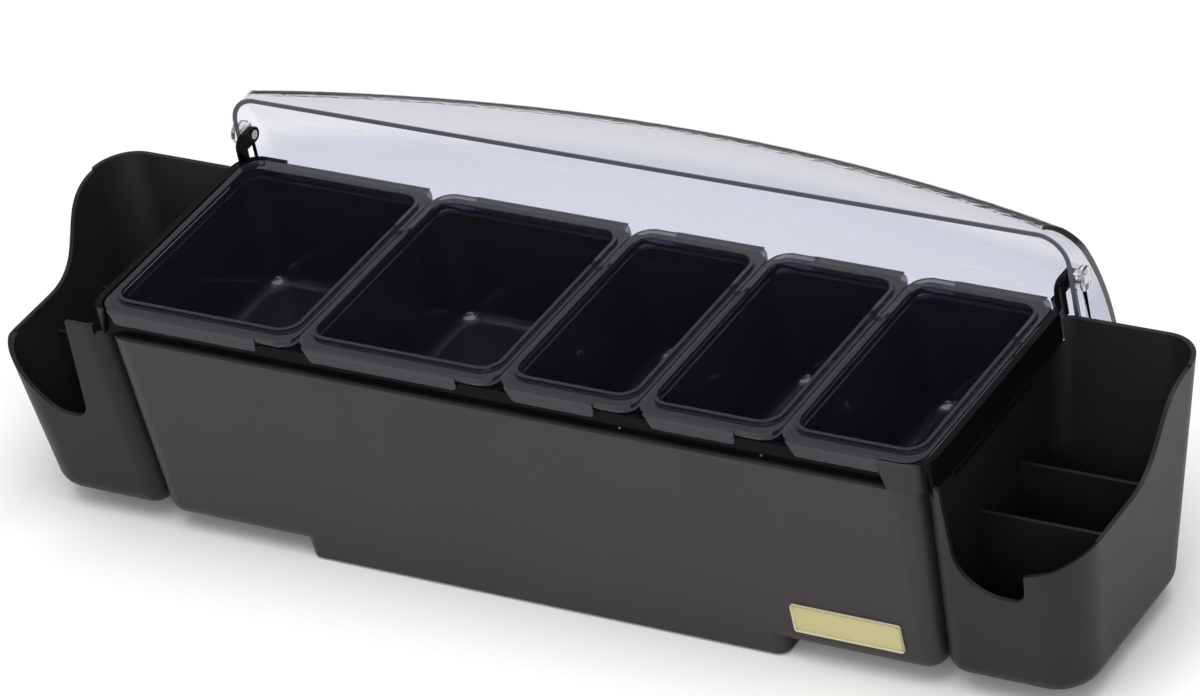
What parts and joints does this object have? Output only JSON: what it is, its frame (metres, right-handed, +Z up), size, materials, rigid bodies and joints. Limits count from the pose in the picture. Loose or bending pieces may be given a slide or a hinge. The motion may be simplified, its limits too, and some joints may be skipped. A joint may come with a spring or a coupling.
{
  "type": "garnish tray",
  "caption": "Countertop garnish tray: black ice trough with lift-out smoke inserts, clip-on end caddies for picks and straws, and a clear dome lid that turns and sinks behind.",
  "frame": {"origin": "on the counter, under the middle of the tray's box with the lid stood on edge behind the trough", "axes": "+X along the row of inserts to the right seen from the front, +Y to the rear, +Z up"},
  "size_m": [0.649, 0.2212, 0.1724],
  "materials": {
    "trough_plastic": "satin moulded ABS, black",
    "caddy_plastic": "satin moulded ABS, black",
    "insert_plastic": "gloss, smoke-tinted and see-through",
    "lid_plastic": "gloss, clear with a light smoke tint",
    "foot_rubber": "matte",
    "pin_steel": "ground bright",
    "slider_plastic": "natural nylon",
    "label_foil": "satin gold film, bare",
    "cap_plastic": "gloss, clear as the lid"
  },
  "bodies": {
    "trough": {"housing": "trough_plastic", "foot_front_left": "foot_rubber", "foot_front_right": "foot_rubber", "foot_rear_left": "foot_rubber", "foot_rear_right": "foot_rubber", "hinge_pin_left": "pin_steel", "hinge_pin_right": "pin_steel", "pin_cap_left": "cap_plastic", "pin_cap_right": "cap_plastic"},
    "lid_sliders": {"slider_block_left": "slider_plastic", "slider_block_right": "slider_plastic"},
    "lid": {"lid": "lid_plastic"},
    "caddy_left": {"caddy_left": "caddy_plastic"},
    "caddy_right": {"caddy_right": "caddy_plastic"},
    "insert_quart_left": {"insert_quart_left": "insert_plastic"},
    "insert_quart_right": {"insert_quart_right": "insert_plastic"},
    "insert_pint_left": {"insert_pint_left": "insert_plastic"},
    "insert_pint_middle": {"insert_pint_middle": "insert_plastic"},
    "insert_pint_right": {"insert_pint_right": "insert_plastic"}
  },
  "joints": [
    {"name": "lid_turn", "type": "hinge", "parent": "trough", "child": "lid_sliders", "pos_m": [0, 0.04555, 0.1454], "axis": [-1, 0, 0], "range_deg": [-90, 0]},
    {"name": "lid_slide", "type": "slide", "parent": "lid_sliders", "child": "lid", "axis": [0, 0, -1], "range_m": [-0.1299, 0]},
    {"name": "insert_quart_left_lift", "type": "slide", "parent": "trough", "child": "insert_quart_left", "axis": [0, 0, 1], "range_m": [0, 0.09]},
    {"name": "insert_quart_right_lift", "type": "slide", "parent": "trough", "child": "insert_quart_right", "axis": [0, 0, 1], "range_m": [0, 0.09]},
    {"name": "insert_pint_left_lift", "type": "slide", "parent": "trough", "child": "insert_pint_left", "axis": [0, 0, 1], "range_m": [0, 0.09]},
    {"name": "insert_pint_middle_lift", "type": "slide", "parent": "trough", "child": "insert_pint_middle", "axis": [0, 0, 1], "range_m": [0, 0.09]},
    {"name": "insert_pint_right_lift", "type": "slide", "parent": "trough", "child": "insert_pint_right", "axis": [0, 0, 1], "range_m": [0, 0.09]},
    {"name": "caddy_left_pull", "type": "slide", "parent": "trough", "child": "caddy_left", "axis": [-1, 0, 0], "range_m": [0, 0.05]},
    {"name": "caddy_right_pull", "type": "slide", "parent": "trough", "child": "caddy_right", "axis": [1, 0, 0], "range_m": [0, 0.05]}
  ]
}
